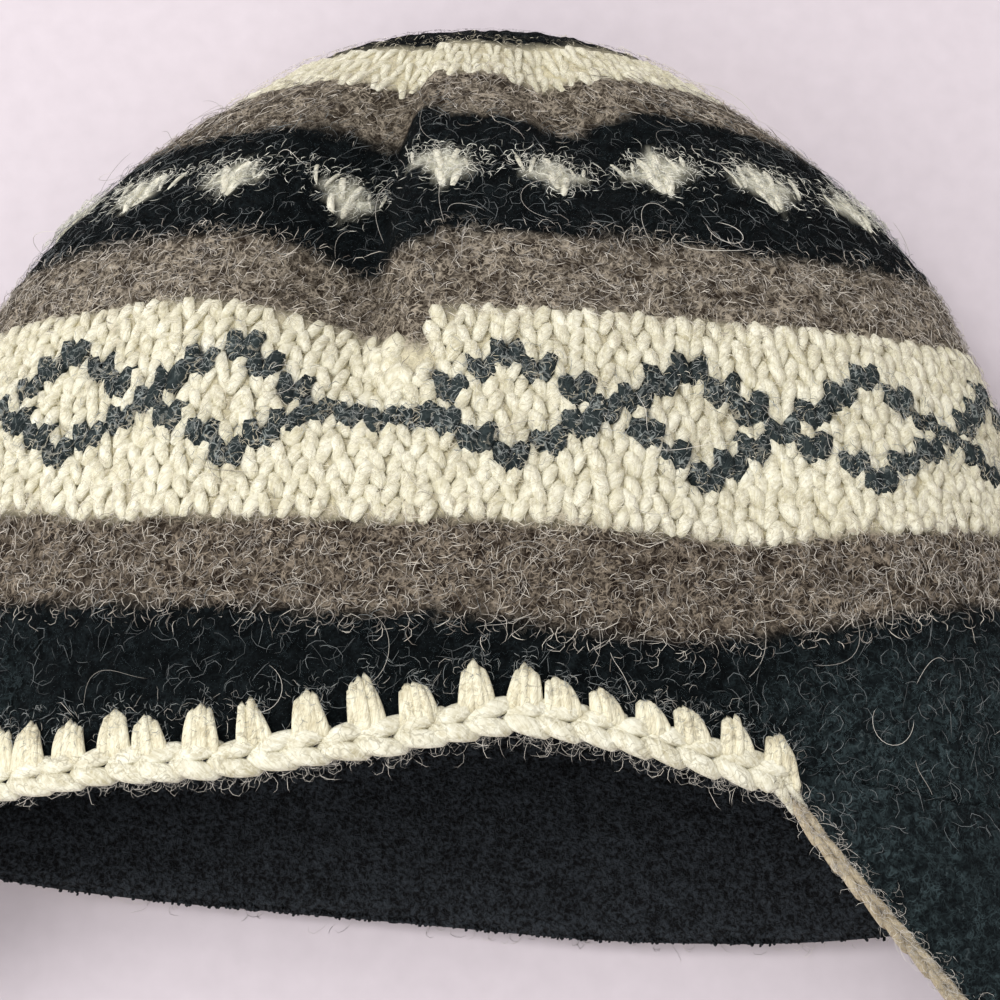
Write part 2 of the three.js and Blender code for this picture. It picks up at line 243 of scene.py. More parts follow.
def make_piece(name, points, quads, triangles=None, attributes=None):
    """An object at the origin from arrays of points, quads and triangles, shaded smooth.
    attributes maps a name to one vector for each point."""
    faces = [quads] if triangles is None else [quads, triangles]
    corners = np.concatenate([f.ravel() for f in faces]).astype(np.int32)
    sizes = np.concatenate([np.full(len(f), f.shape[1]) for f in faces]).astype(np.int32)
    mesh = bpy.data.meshes.new(name)
    mesh.vertices.add(len(points))
    mesh.vertices.foreach_set("co", np.asarray(points, np.float32).ravel())
    mesh.loops.add(len(corners))
    mesh.loops.foreach_set("vertex_index", corners)
    mesh.polygons.add(len(sizes))
    starts = np.concatenate([[0], np.cumsum(sizes)[:-1]]).astype(np.int32)
    mesh.polygons.foreach_set("loop_start", starts)
    mesh.polygons.foreach_set("use_smooth", np.ones(len(sizes), bool))
    for key, vectors in (attributes or {}).items():
        layer = mesh.attributes.new(key, "FLOAT_VECTOR", "POINT")
        layer.data.foreach_set("vector", np.asarray(vectors, np.float32).ravel())
    mesh.update(calc_edges=True)
    mesh.validate()
    piece = bpy.data.objects.new(name, mesh)
    bpy.context.scene.collection.objects.link(piece)
    return piece


def dress(piece, material):
    """Gives a piece its material and lets it ride on the hat, which is all one body."""
    piece.data.materials.append(material)
    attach(piece, "root")


def shell(outer, inner, round_way=True):
    """A closed skin from two grids of points [ring, column] that share their columns. Round grids
    join their last column to the first; open ones need equal rings and get side walls."""
    rings, columns = outer.shape[:2]
    points = np.concatenate([outer.reshape(-1, 3), inner.reshape(-1, 3)])
    at = np.arange(rings * columns).reshape(rings, columns)
    under = np.arange(len(inner) * columns).reshape(-1, columns) + rings * columns
    if round_way:
        at = np.concatenate([at, at[:, :1]], axis=1)
        under = np.concatenate([under, under[:, :1]], axis=1)

    def grid(a, b, c, d):
        return np.stack([a, b, c, d], axis=-1).reshape(-1, 4)

    quads = [
        grid(at[:-1, :-1], at[:-1, 1:], at[1:, 1:], at[1:, :-1]),
        grid(under[:-1, :-1], under[1:, :-1], under[1:, 1:], under[:-1, 1:]),
        grid(at[-1, :-1], at[-1, 1:], under[-1, 1:], under[-1, :-1]),
        grid(at[0, :-1], under[0, :-1], under[0, 1:], at[0, 1:]),
    ]
    if not round_way:
        quads.append(grid(at[:-1, 0], at[1:, 0], under[1:, 0], under[:-1, 0]))
        quads.append(grid(at[:-1, -1], under[:-1, -1], under[1:, -1], at[1:, -1]))
    return points, np.concatenate(quads)


def linear(red, green, blue):
    """An 8-bit screen colour as the linear colour that a shader takes."""
    parts = np.array([red, green, blue]) / 255
    return (*np.where(parts <= 0.04045, parts / 12.92, ((parts + 0.055) / 1.055) ** 2.4), 1.0)


class Sock:
    """A shader socket whose operators add Math nodes."""

    def __init__(self, finish, socket):
        self.finish, self.socket = finish, socket

    def maths(self, operation, *others):
        return self.finish.node("ShaderNodeMath", {"operation": operation}, (self, *others))

    def __add__(self, other):
        return self.maths("ADD", other)

    def __sub__(self, other):
        return self.maths("SUBTRACT", other)

    def __rsub__(self, other):
        return (self * -1.0) + other

    def __mul__(self, other):
        return self.maths("MULTIPLY", other)

    def __truediv__(self, other):
        return self.maths("DIVIDE", other)

    def __abs__(self):
        return self.maths("ABSOLUTE")

    def clamp(self):
        return self.maths("MINIMUM", 1.0).maths("MAXIMUM", 0.0)

    def over(self, other):
        return self.maths("MAXIMUM", other)


class Finish:
    """A material that is written as expressions on sockets."""

    def __init__(self, name, roughness, sheen, sheen_tint):
        self.material = bpy.data.materials.new(name)
        self.material.use_nodes = True
        self.tree = self.material.node_tree
        self.shader = self.tree.nodes["Principled BSDF"]
        sheens = {"Sheen Weight": sheen, "Sheen Roughness": 0.6, "Sheen Tint": sheen_tint}
        for key, value in {"Roughness": roughness, "Specular IOR Level": 0.08, **sheens}.items():
            self.shader.inputs[key].default_value = value

    def node(self, kind, settings, inputs, output=0):
        """A node of any kind, with its settings and the values or links of its sockets."""
        made = self.tree.nodes.new(kind)
        for key, value in settings.items():
            setattr(made, key, value)
        pairs = inputs.items() if isinstance(inputs, dict) else enumerate(inputs)
        for key, value in pairs:
            if isinstance(value, Sock):
                self.tree.links.new(value.socket, made.inputs[key])
            else:
                made.inputs[key].default_value = value
        return Sock(self, made.outputs[output])

    def coords(self, attribute=None, output="Vector"):
        """The piece's own coordinates, or one of its attributes, as a vector or a colour."""
        if attribute:
            return self.node("ShaderNodeAttribute", {"attribute_name": attribute}, (), output)
        return self.node("ShaderNodeTexCoord", {}, (), "Object")

    def placed(self, vector, scale=(1, 1, 1), offset=(0, 0, 0)):
        return self.node("ShaderNodeMapping", {}, {"Vector": vector, "Location": offset, "Scale": scale})

    def noise(self, vector, scale, detail=2.0, rough=0.5, bend=0.0):
        sockets = {"Vector": vector, "Scale": scale, "Detail": detail, "Roughness": rough}
        sockets["Distortion"] = bend
        return self.node("ShaderNodeTexNoise", {}, sockets, "Fac")

    def tangle(self, vector, scale, width, layers, bend=0.8):
        """Curly fibres: thin lines where a noise passes its middle value, in several layers."""
        lines = None
        for k in range(layers):
            moved = self.placed(vector, offset=(0.37 * k + 0.11, -0.53 * k, 0.71 * k))
            field = self.noise(moved, scale * (1 + 0.23 * k), 1.0, 0.4, bend)
            line = (1 - abs(field - 0.5) / width).clamp()
            line = line * (self.noise(moved, scale * 0.35, 0.0) * 2.2 - 0.45).clamp()
            lines = line if lines is None else lines.over(line)
        return lines

    def mix(self, share, first, second):
        """first where share is 0, second where it is 1."""
        sockets = {0: share, 6: first, 7: second}
        return self.node("ShaderNodeMix", {"data_type": "RGBA"}, sockets, 2)

    def colour(self, value):
        self.tree.links.new(value.socket, self.shader.inputs["Base Color"])

    def bump(self, height, strength, distance):
        sockets = {"Strength": strength, "Distance": distance, "Height": height}
        normal = self.node("ShaderNodeBump", {}, sockets)
        self.tree.links.new(normal.socket, self.shader.inputs["Normal"])


# Each stripe: its name, first row, last row, stitches in a round and yarn.
STRIPES = {
    "far_black": (0, 5.5, 22, "black"),
    "far_cream": (5.5, 8.2, 50, "cream"),
    "far_brown": (8.2, 13, 58, "light_brown"),
    "crosses": (13, 21, 72, "black"),
    "middle_brown": (21, 26, 78, "light_brown"),
    "diamonds": (26, 38, 84, "cream"),
    "near_brown": (38, 44, 84, "brown"),
    "near_black": (44, 80, 84, "black"),
}
# Each yarn's ground: its shade, the shade of the fibres felted into it, and its lift in mm. The
# cream lies lower, under its stitches. Then the same two shades for the flaps and the crown near
# them, painted paler as painted light on the flaps, for the diamonds and for the crosses.
GROUNDS = {
    "black": (linear(1, 3, 4), linear(21, 27, 29), -0.5),
    "brown": (linear(28, 20, 14), linear(142, 130, 114), -0.5),
    # The far and middle brown stripes take this paler brown, the near one the darker brown.
    "light_brown": (linear(40, 32, 24), linear(166, 155, 138), -0.5),
    # The cream's fibre shade also colours the haze over the cream stitches, where it is drawn darker than
    # the yarn as painted shadow of the loose hair.
    "cream": (linear(206, 198, 168), linear(186, 178, 156), -1.0),
}
FLAP_LIT_SHADE, FLAP_LIT_FIBRE = linear(9, 14, 16), linear(52, 64, 66)
MOTIF_SHADE, MOTIF_FIBRE = linear(14, 18, 20), linear(110, 116, 116)
STAR_SHADE, STAR_FIBRE = linear(206, 203, 182), linear(240, 238, 220)

# How the slack stripes hang: a row, then by how many rows it lies lower at each of the places.
SLACK_PLACES = (0.2, 0.26, 0.32, 0.37, 0.4, 0.43, 0.47, 0.513, 0.518, 0.529, 0.552, 0.58, 0.63, 0.68, 0.75)
SLACK = np.array([
    (9, 0, 0, 0, 0, 0, 0, 0, 0, 0, 0, 0, 0, 0, 0, 0),
    (13, 0, 0, -0.5, -1.4, -1.5, -1, -0.3, -0.3, -1, -1.6, -0.9, -0.9, 0, 0, 0),
    (21, 0, 0.3, 0.8, 0.9, 0.4, 0.1, -0.2, -0.5, 0, 0.2, -0.1, -1, -0.9, -0.5, 0),
    (26, 0, 0.5, 1.1, 0.8, 0.6, 0.4, 0.1, 0, 3.9, 2.3, -0.3, -0.8, -1.1, -0.7, 0),
    (31, 0, 1.3, 1.5, 1.2, 0.9, 0.5, 0.1, 0.1, 0.9, 0.8, 0.3, -0.3, -0.6, -0.7, 0),
    (38, 0, 0.3, 0.4, 0.8, 0.8, 0.4, 0, -0.4, -0.1, -0.1, -0.4, -0.5, -0.4, -0.9, 0),
    (44, 0, -1, -1, 0.2, 0.6, 1, 0, -1, -0.8, -0.7, -0.9, -1.2, -1.3, -1.1, 0),
    (51, 0, 0, 0, 0, 0, 0, 0, 0, 0, 0, 0, 0, 0, 0, 0),
])


def slack(around, row):
    """By how many rows the stripes hang lower here, blended over the table in both directions."""
    around, row = np.broadcast_arrays(np.mod(around, 1), row)
    line = np.interp(row, SLACK[:, 0], np.arange(len(SLACK)))
    lower = np.zeros(row.shape)
    for k, values in enumerate(SLACK[:, 1:]):
        lower += np.clip(1 - np.abs(line - k), 0, 1) * np.interp(around, SLACK_PLACES, values)
    return lower


def felt_waves(points, lengths, rng):
    """A smooth random height, about -1 to 1, from sines with wave lengths in mm between two."""
    height = np.zeros(points.shape[:-1])
    for _ in range(14):
        wave = unit(rng.normal(size=3)) * 2 * math.pi / (rng.uniform(*lengths) * MM)
        height += np.sin(points @ wave + rng.uniform(0, 2 * math.pi))
    return height / 5


def chart(*rows):
    """A knit chart that is true at the marked stitches."""
    return np.array([[mark == "X" for mark in row] for row in rows])


# The charts were marked one by one. Diamonds go round the hat, and a bar of BAR_COLUMNS stitches
# joins them at the pattern's start and at SECOND_BAR.
DIAMOND = chart(
    "...X..",
    "..X.X.",
    ".X...X",
    "X.....",
    ".X...X",
    "..X.X.",
    "...X..",
)
DIAMOND_TOP = 28
BAR_COLUMNS, BAR_LINE, SECOND_BAR = 3, 3, 45
CROSS = chart("XXX.", ".X..")
CROSS_TOP, CROSS_COLUMN = 16, 1
PATTERN_START, CROSS_START = 0.515, 0.493
# The crosses have felted into soft stars: half the width in stitches, half the height and the
# middle's distance below the chart's top in rows, how hollow the sides and how sharp the edges.
STAR_WIDTH, STAR_HEIGHT, STAR_MIDDLE, STAR_HOLLOW, STAR_EDGE = 1.8, 1.45, 0.9, 0.7, 2.6


def motif_at(stripe, column, row):
    """True where a stitch belongs to a diamond, to the bar between two, or to a cross."""
    if stripe not in ("diamonds", "crosses"):
        return np.zeros(column.shape, bool)
    marks, top = (DIAMOND, DIAMOND_TOP) if stripe == "diamonds" else (CROSS, CROSS_TOP)
    inside = (row >= top) & (row < top + len(marks))
    line = np.clip(row - top, 0, len(marks) - 1)
    if stripe == "crosses":
        return inside & CROSS[line, column % CROSS.shape[1]]
    column = np.where(column < SECOND_BAR, column, column - SECOND_BAR) - BAR_COLUMNS
    in_diamond = DIAMOND[line, column % DIAMOND.shape[1]]
    return inside & np.where(column < 0, line == BAR_LINE, in_diamond)


def ground_values(around, row):
    """Shade, fibre shade and lift of the ground, blended over half a row, with the motifs and, near
    the flaps, a paler painted light laid over them."""
    worked = row - slack(around, row)
    values = [np.zeros((*row.shape, 3)), np.zeros((*row.shape, 3)), np.zeros(row.shape)]
    for first, last, _, yarn in STRIPES.values():
        inside = np.clip((worked - first) * 2 + 0.5, 0, 1) * np.clip((last - worked) * 2 + 0.5, 0, 1)
        shade, fibre, lift = GROUNDS[yarn]
        values[0] += inside[..., None] * shade[:3]
        values[1] += inside[..., None] * fibre[:3]
        values[2] += inside * lift
    count = STRIPES["diamonds"][2]
    column = np.floor(np.mod(around - PATTERN_START, 1) * count).astype(int)
    marked = motif_at("diamonds", column, np.floor(worked + 0.1).astype(int)).astype(float)
    count = STRIPES["crosses"][2]
    across = np.mod((around - CROSS_START) * count, CROSS.shape[1]) - (CROSS_COLUMN + 0.5)
    across = np.abs(across) / STAR_WIDTH
    down = np.abs(worked - CROSS_TOP - STAR_MIDDLE) / STAR_HEIGHT
    star = np.clip(STAR_EDGE * (1 - across**STAR_HOLLOW - down**STAR_HOLLOW), 0, 1)
    # Near the flaps the ground is painted paler: painted light on the flaps' surface.
    painted_flap_light = 0
    for centre in FLAP_CENTRES.values():
        off = (np.mod(around, 1) - centre) / FLAP_HALF / 1.1
        painted_flap_light = painted_flap_light + np.exp(-(off**4)) * np.clip((worked - STRIPES["near_black"][0]) / 4, 0, 1)
    for share, shade, fibre in (
        (marked, MOTIF_SHADE, MOTIF_FIBRE),
        (star, STAR_SHADE, STAR_FIBRE),
        (painted_flap_light, FLAP_LIT_SHADE, FLAP_LIT_FIBRE),
    ):
        for k, colour in enumerate((shade, fibre)):
            values[k] += share[..., None] * (np.array(colour[:3]) - values[k])
    return values


def felt_ground():
    finish = Finish("felted ground", 0.95, 0.0, (0.8, 0.78, 0.74, 1))
    place = finish.coords()
    tint, fibre = finish.coords("tint", "Color"), finish.coords("fibre", "Color")
    lines = finish.tangle(place, 380, 0.045, 2).over(finish.tangle(place, 620, 0.08, 1) * 0.75)
    clumps = (finish.noise(place, 380, 3, 0.6) * 4.5 - 1.75).clamp()
    value = (lines * (clumps * 0.85 + 0.3) + clumps * 0.16).clamp()
    finish.colour(finish.mix(value, tint, fibre))
    finish.bump(finish.noise(place, 620, 3, 0.7, 0.8), 0.9, 1.3 * MM)
    return finish.material


GROUND_COLUMNS, GROUND_RINGS, INNER_GROUND_RINGS = 420, 91, 9
POLE_SHARE = 0.004
RIB_DEPTH, FELT_DEPTH, FELT_WAVES = 0.3, 0.45, (3.5, 9)
HAZE_OVER_FELT, HAZE_OVER_STITCHES = 0.7, 1.4
# A groove in the black stripe above the right flap: place, width, depth in mm and first row.
GROOVE_AROUND, GROOVE_WIDTH, GROOVE_DEPTH, GROOVE_ROW = 0.357, 0.004, 1.3, 43
ground_rng = np.random.default_rng(2)
columns = np.arange(GROUND_COLUMNS) / GROUND_COLUMNS
a, share = np.meshgrid(columns, np.linspace(POLE_SHARE, 1, GROUND_RINGS))
r = share * hem_at(a)
tint, fibre, lift = ground_values(a, r)
plain = hat_point(a, r)
felted = np.clip(2 * lift + 2, 0, 1)
ribs = RIB_DEPTH * np.cos(2 * math.pi * STRIPES["near_black"][2] * a) * np.clip(r / 30, 0, 1)
lift = lift + felted * (ribs + FELT_DEPTH * felt_waves(plain, FELT_WAVES, ground_rng))
haze_lift = np.where(felted > 0.5, lift + HAZE_OVER_FELT, HAZE_OVER_STITCHES)
groove = np.exp(-(((a - GROOVE_AROUND) / GROOVE_WIDTH) ** 2)) * np.clip((r - GROOVE_ROW) / 4, 0, 1)
lift -= GROOVE_DEPTH * groove
inner_a, inner_share = np.meshgrid(columns, np.linspace(POLE_SHARE, 1, INNER_GROUND_RINGS))
inner = hat_point(inner_a, inner_share * hem_at(inner_a), -KNIT_WALL)
under = np.zeros((inner.size // 3, 3))
# The haze takes every second ring and column, and is made with the loose hair.
haze_skin = hat_point(a, r, haze_lift)[::2, ::2]
haze_fibre, haze_inner = fibre[::2, ::2], inner[:, ::2]
crown_ground = make_piece(
    "crown_ground",
    *shell(hat_point(a, r, lift), inner),
    attributes={
        "tint": np.concatenate([tint.reshape(-1, 3), under + 0.02]),
        "fibre": np.concatenate([fibre.reshape(-1, 3), under + 0.05]),
    },
)
dress(crown_ground, felt_ground())
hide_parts("crown")

# The stitches of the crown
# Plain knitting: each stitch shows two plump legs that meet in a point towards the hem. The
# cream stripes are hardly felted and show every stitch. Diamonds and small crosses are knitted
# in, charted above.

def tube_faces(count, stations, sides):
    """Quads and end triangles of many tubes, each with a point, stations rings, and a point."""
    size = stations * sides + 2
    ring = np.arange(stations * sides).reshape(stations, sides)
    turned = np.roll(ring, -1, axis=1)
    quads = np.stack([ring[:-1], turned[:-1], turned[1:], ring[1:]], axis=-1).reshape(-1, 4)
    tip, end = stations * sides, stations * sides + 1
    fan = np.stack([turned[0], ring[0], np.full(sides, tip)], axis=-1)
    last = np.stack([ring[-1], turned[-1], np.full(sides, end)], axis=-1)
    offset = (np.arange(count) * size)[:, None, None]
    quads = (quads[None] + offset).reshape(-1, 4)
    return quads, (np.concatenate([fan, last])[None] + offset).reshape(-1, 3)


def tubes(name, paths, outwards, widths, sides, shades, flatness=1.0):
    """Many yarns or hairs as one piece. paths [tube, point, 3] are centrelines from tip to tip,
    and each ring between is an ellipse, widths across and flatness times that outwards. The
    attribute yarn holds cos, sin and length, and shade a number for each tube."""
    count, length = paths.shape[:2]
    tangent = unit(np.gradient(paths, axis=1))
    side = unit(np.cross(tangent, outwards))
    out = np.cross(side, tangent)
    turn = np.arange(sides) * 2 * math.pi / sides
    reach = np.broadcast_to(widths, (count, length))[:, 1:-1, None, None]
    rings = paths[:, 1:-1, None] + reach * (
        np.cos(turn)[:, None] * side[:, 1:-1, None] + flatness * np.sin(turn)[:, None] * out[:, 1:-1, None]
    )
    points = np.concatenate([rings.reshape(count, -1, 3), paths[:, :1], paths[:, -1:]], axis=1)
    steps = np.linalg.norm(np.diff(paths, axis=1), axis=2)
    run = np.concatenate([np.zeros((count, 1)), np.cumsum(steps, axis=1)], axis=1) / MM
    start = np.arange(count)[:, None] * 7.3
    twist = turn + 0.5 * run[:, 1:-1, None]
    length_along = np.broadcast_to(run[:, 1:-1, None], twist.shape)
    strands = np.stack([np.cos(twist), np.sin(twist), length_along], axis=-1)
    ends = np.stack([np.zeros((count, 2)), np.zeros((count, 2)), run[:, [0, -1]]], axis=-1)
    yarn = np.concatenate([strands.reshape(count, -1, 3), ends], axis=1)
    yarn[..., 2] += start
    shade = np.repeat(np.asarray(shades)[:, None], points.shape[1], axis=1)
    points = points.reshape(-1, 3)
    points[:, 2] = np.maximum(points[:, 2], 0.15 * MM)
    quads, triangles = tube_faces(count, length - 2, sides)
    attributes = {"yarn": yarn.reshape(-1, 3), "shade": np.repeat(shade.reshape(-1, 1), 3, axis=1)}
    return make_piece(name, points, quads[:, ::-1], triangles[:, ::-1], attributes)


# A leg from its top to its point: place along the stitch in rows, sideways in stitches, lift in
# mm, and half its width as a share of the stitch.
LEG = np.array([
    (-0.55, 0.44, -3.2, 0.08),
    (-0.35, 0.42, -1.9, 0.19),
    (-0.02, 0.36, -0.8, 0.25),
    (0.35, 0.28, -0.45, 0.265),
    (0.72, 0.19, -0.45, 0.245),
    (1.05, 0.11, -0.75, 0.19),
    (1.26, 0.06, -1.6, 0.07),
])
ROUGH_LEG = LEG[[0, 1, 3, 5, 6]]
LONG_LEG = LEG * (1.15, 1, 1, 1.1)
# How uneven the legs are: sideways in stitches, along in rows, lift in mm, share of the width.
LEG_JITTER = (0.055, 0.09, 0.18, 0.09)
LEG_SIDES, LEG_FLATNESS = 5, 0.76


def stitches_of(stripe):
    """Column, row, around and stitches in a round of every stitch of a stripe."""
    first, last, count, _ = STRIPES[stripe]
    column, row = (g.ravel() for g in np.meshgrid(np.arange(count), np.arange(first, last)))
    start = CROSS_START if stripe == "crosses" else PATTERN_START
    return column, row, start + (column + 0.5) / count, count


def legs(name, around, row, count, leg, rng, plump=1.0, lift=0.0):
    """The two legs of every stitch, laid along the surface in columns that wander a little. plump
    is one number, or one for each stitch."""
    plump = np.repeat(np.broadcast_to(plump, around.shape), 2)[:, None]
    around = np.repeat(around, 2)
    row = np.repeat(row, 2)
    hand = np.tile([-1.0, 1.0], len(around) // 2)
    jitter = rng.normal(size=(len(around), 4)) * LEG_JITTER
    wander = 0.14 * np.sin(0.9 * row + 31 * around) + 0.1 * np.sin(2.3 * row - 57 * around)
    sideways = hand[:, None] * leg[:, 1] + jitter[:, :1] + wander[:, None]
    a = around[:, None] + sideways / count
    r = row[:, None] + leg[:, 0]
    r = np.maximum(r + jitter[:, 1:2] + slack(around[:, None], r), 0.05)
    lifts = leg[:, 2] + jitter[:, 2:3] + lift
    paths = hat_point(a, r, lifts)
    outwards = surface_axes(a, r)[2]
    near = hat_point(around + 0.5 / count, row + 0.5) - hat_point(around - 0.5 / count, row + 0.5)
    pitch = np.linalg.norm(near, axis=-1)[:, None]
    widths = pitch * leg[:, 3] * plump * (1 + jitter[:, 3:])
    shades = rng.random(len(around) // 2)
    return tubes(name, paths, outwards, widths, LEG_SIDES, np.repeat(shades, 2), LEG_FLATNESS)


def wool(name, light, dark, hair, hair_share, sheen):
    """Loosely spun wool from three screen colours: strands along the yarn, with painted shade
    dark in the hollows of their bump, and loose fibres over them, some light and some of the
    hair's shade."""
    light, dark, hair = linear(*light), linear(*dark), linear(*hair)
    finish = Finish(name, 0.95, sheen, light)
    place, yarn, shade = finish.coords(), finish.coords("yarn"), finish.coords("shade")
    strands = finish.noise(finish.placed(yarn, scale=(1.0, 1.0, 0.16)), 2.6, 3, 0.6, 0.4)
    cloud = finish.noise(place, 330, 3, 0.6)
    # Dark where the strands and cloud bump low: painted shade in the yarn's hollows.
    value = (strands * 1.5 + cloud * 1.5 + shade * 0.25 - 1.2).clamp()
    pale = finish.tangle(place, 600, 0.07, 1)
    fibres = finish.tangle(place, 430, 0.04, 1)
    tone = finish.mix(pale * 0.6, finish.mix(value, dark, light), light)
    finish.colour(finish.mix(fibres * hair_share, tone, hair))
    finish.bump(strands * 1.1 + cloud * 1.2, 0.7, 0.5 * MM)
    return finish.material


cream_wool = wool("cream wool", (238, 235, 217), (194, 187, 158), (140, 132, 112), 0.4, 0.12)
cross_wool = wool("cross wool", (246, 243, 226), (206, 201, 180), (110, 112, 106), 0.5, 0.05)
# The black wool knits only the flaps, painted paler than the crown's black as painted light on them.
black_wool = wool("black wool", (36, 46, 48), (10, 15, 17), (84, 94, 95), 0.5, 0.02)
motif_wool = wool("charcoal wool", (54, 62, 62), (18, 24, 26), (150, 156, 152), 0.8, 0.03)

# Only the cream stripes and the small crosses show their stitches: the brown and black stripes
# have felted over. Each lot: stripe, whether its motif, name, leg, wool, plumpness and lift in mm.
rng = np.random.default_rng(11)
OUTER_CROSS_PLUMP = 0.5
SHOWN = (
    ("far_cream", False, "stitches_far_cream", ROUGH_LEG, cream_wool, 0.95, -0.3),
    ("crosses", True, "stitches_crosses", LEG, cross_wool, 0.66, -0.1),
    ("diamonds", False, "stitches_cream", LEG, cream_wool, 1.0, 0.0),
    ("diamonds", True, "stitches_diamonds", LONG_LEG, motif_wool, 1.25, 0.25),
)
for stripe, in_motif, name, leg, finish, plump, raised in SHOWN:
    column, row, around, count = stitches_of(stripe)
    chosen = motif_at(stripe, column, row) == in_motif
    if stripe == "crosses":
        plump = np.where(column[chosen] % CROSS.shape[1] == CROSS_COLUMN, plump, OUTER_CROSS_PLUMP * plump)
    piece = legs(name, around[chosen], row[chosen], count, leg, rng, plump, raised)
    dress(piece, finish)

# The ear flaps
# Two pointed flaps knitted on from the hem in black, one over each ear. The right one lies
# towards the viewer; the left one is past the photo's edge and is finished the same.

FLAP_COLUMNS, FLAP_RINGS = 61, 60
FLAP_FELT_DEPTH, FLAP_GROUND_LIFT, FLAP_STITCH_LIFT = 0.4, -0.3, -1.15
# Stitches stay this far inside the flap: a share of its half width, and rows from its edge.
FLAP_INSIDE, FLAP_EDGE_ROWS = 0.93, 1.7
flap_rng = np.random.default_rng(5)
for hand, centre in FLAP_CENTRES.items():
    node = f"ear_flap_{hand}"
    across = np.sin(np.linspace(-0.5, 0.5, FLAP_COLUMNS) * math.pi)
    a, share = np.meshgrid(centre + across * FLAP_HALF * 0.985, np.linspace(0, 1, FLAP_RINGS))
    r = hem_at(a) + share * (edge_at(a) - hem_at(a))
    grain = FLAP_FELT_DEPTH * felt_waves(hat_point(a, r), FELT_WAVES, flap_rng)
    # The flap's ground takes the paler flap shades: painted light on the flap.
    flap = make_piece(
        node + "_ground",
        *shell(hat_point(a, r, grain + FLAP_GROUND_LIFT), hat_point(a, r, -KNIT_WALL), False),
        attributes={
            "tint": np.tile(FLAP_LIT_SHADE[:3], (2 * a.size, 1)),
            "fibre": np.tile(FLAP_LIT_FIBRE[:3], (2 * a.size, 1)),
        },
    )
    dress(flap, crown_ground.data.materials[0])
    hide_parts(node)
    column, row, around, count = stitches_of("near_black")
    off = np.abs(np.mod(around, 1) - centre) / FLAP_HALF
    nearest_edge = np.minimum(edge_at(around - 0.7 / count), edge_at(around + 0.7 / count))
    kept = (off < FLAP_INSIDE) & (row + FLAP_EDGE_ROWS < nearest_edge)
    kept &= row + 0.35 >= hem_at(around) - 3
    places = around[kept], row[kept]
    knit = legs(node + "_stitches", *places, count, ROUGH_LEG, flap_rng, lift=FLAP_STITCH_LIFT)
    dress(knit, black_wool)

# The fleece lining
# A charcoal fleece cap, pilled with wear, sewn inside the knitting with a seam at the back. It
# stops short of the edge at the front and on the flaps, and rolls out over the braid behind.

LINING_GAP, FLEECE_WALL, LINING_INSET, NAPE_REACH = 0.5, 2.5, 6.0, 7.0
LINING_COLUMNS, OUTER_RINGS, INNER_RINGS = 260, 20, 70
SEAM_AROUND, SEAM_WIDTH, SEAM_DEPTH = 0.045, 1.1, 1.5
END_ROUNDING = 1.2


def nape_share(around):
    """1 along the back hem between the flaps, fading to 0 just past their corners."""
    a = np.mod(around, 1)
    corner = np.where(a < 0.5, FLAP_CENTRES["right"] - FLAP_HALF, 1 - FLAP_CENTRES["left"] - FLAP_HALF)
    t = np.clip((corner - np.minimum(a, 1 - a) + 0.035) / 0.035, 0, 1)
    return t * t * (3 - 2 * t)


def lining_skin(depth, rounded, rings):
    """A fleece skin at a depth, from the pole to the lining's end, its last few mm rounded off."""
    around = np.arange(LINING_COLUMNS) / LINING_COLUMNS
    share = np.linspace(POLE_SHARE, 1, rings) ** 0.9
    a, s = np.meshgrid(around, share)
    nape = nape_share(a)
    end = edge_at(a) + (NAPE_REACH * nape - LINING_INSET * (1 - nape)) / ROW_HEIGHT
    rows = s * end
    left = (end - rows) * ROW_HEIGHT
    tuck = rounded * (1 - np.sqrt(np.clip(left / END_ROUNDING, 0, 1)))
    from_seam = (np.mod(a - SEAM_AROUND + 0.5, 1) - 0.5) * GIRTH
    seam = SEAM_DEPTH * np.exp(-((from_seam / SEAM_WIDTH) ** 2))
    waves = 0.35 * np.sin(a * 61 + rows * 0.7) * np.sin(rows * 0.9 + a * 23)
    inward = 1 if rounded < 0 else 0
    return hat_point(a, rows, -(depth + tuck) + inward * (seam + waves) - inward * 0.3)


def fleece():
    finish = Finish("fleece", 1.0, 0.06, (0.6, 0.6, 0.62, 1))
    place = finish.coords()
    pills = finish.noise(place, 1050, 3, 0.65, 0.6)
    lumps = finish.noise(place, 330, 2, 0.5)
    # Dark where the pills and lumps bump low: painted shade between the pills.
    value = (pills * 4.6 + lumps * 1.2 - 2.45).clamp()
    finish.colour(finish.mix(value, linear(3, 4, 6), linear(50, 55, 60)))
    finish.bump(pills * 1.2 + lumps * 1.2, 1.0, 2.0 * MM)
    return finish.material


outside = KNIT_WALL + LINING_GAP
lining = make_piece(
    "lining_fleece",
    *shell(
        lining_skin(outside, END_ROUNDING, OUTER_RINGS),
        lining_skin(outside + FLEECE_WALL, -END_ROUNDING, INNER_RINGS),
    ),
)
dress(lining, fleece())
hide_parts("lining")

